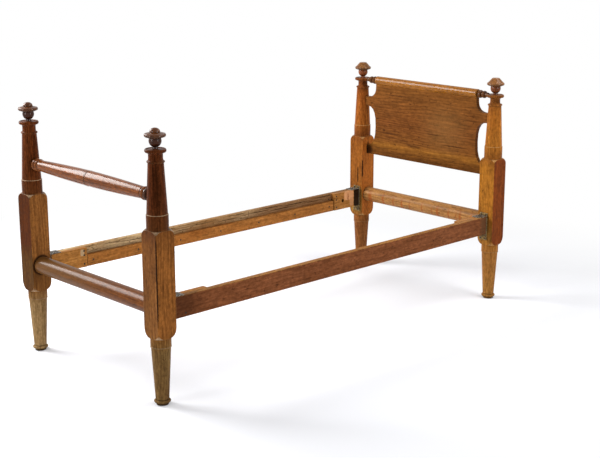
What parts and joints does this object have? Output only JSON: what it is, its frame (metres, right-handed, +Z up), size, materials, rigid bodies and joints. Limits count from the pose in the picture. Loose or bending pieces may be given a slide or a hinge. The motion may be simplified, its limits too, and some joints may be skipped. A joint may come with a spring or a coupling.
{
  "type": "rope bed",
  "caption": "Low-post rope-bed frame with turned posts, scroll-cut headboard under a roll, blanket rail, round end rails and side rails that lift off hook irons.",
  "frame": {"origin": "centre of the bed on the floor", "axes": "+X towards the head along the bed, +Y towards the far side, +Z up"},
  "size_m": [2.035, 0.927, 1.05],
  "materials": {
    "head_post_wood": "golden cherry and maple under old shellac, semi-gloss",
    "foot_post_wood": "brown maple under old shellac, semi-gloss",
    "foot_finial_wood": "dark red-brown stained maple, semi-gloss",
    "head_rail_wood": "light maple, satin, rope-worn",
    "foot_rail_wood": "brown maple with a hazy old finish",
    "blanket_rail_wood": "red-brown maple under gloss shellac",
    "panel_wood": "brown maple board, satin",
    "roll_wood": "golden maple under gloss shellac",
    "side_rail_wood": "red-brown maple, satin, worn along the top edge",
    "ledger_wood": "orange pine strip, satin",
    "iron": "blackened iron, satin, rubbed bright on its edges",
    "screw": "dull steel screws"
  },
  "bodies": {
    "frame": {"near_head_post": "head_post_wood", "far_head_post": "head_post_wood", "near_foot_post": "foot_post_wood", "far_foot_post": "foot_post_wood", "near_head_finial": "head_post_wood", "far_head_finial": "head_post_wood", "near_foot_finial": "foot_finial_wood", "far_foot_finial": "foot_finial_wood", "head_end_rail": "head_rail_wood", "foot_end_rail": "foot_rail_wood", "blanket_rail": "blanket_rail_wood", "headboard_panel": "panel_wood", "headboard_roll": "roll_wood", "near_head_post_plate": "iron", "far_head_post_plate": "iron", "near_foot_post_plate": "iron", "far_foot_post_plate": "iron", "post_plate_screws": "screw"},
    "near_rail": {"near_rail_board": "side_rail_wood", "near_rail_ledger": "ledger_wood", "near_rail_head_block": "ledger_wood", "near_rail_foot_block": "ledger_wood", "near_rail_head_iron": "iron", "near_rail_foot_iron": "iron", "near_rail_screws": "screw"},
    "far_rail": {"far_rail_board": "side_rail_wood", "far_rail_ledger": "ledger_wood", "far_rail_head_block": "ledger_wood", "far_rail_foot_block": "ledger_wood", "far_rail_head_iron": "iron", "far_rail_foot_iron": "iron", "far_rail_screws": "screw"}
  },
  "joints": [
    {"name": "near_rail_lift", "type": "slide", "parent": "frame", "child": "near_rail", "axis": [0, 0, 1], "range_m": [0, 0.0154]},
    {"name": "far_rail_lift", "type": "slide", "parent": "frame", "child": "far_rail", "axis": [0, 0, 1], "range_m": [0, 0.0154]}
  ]
}
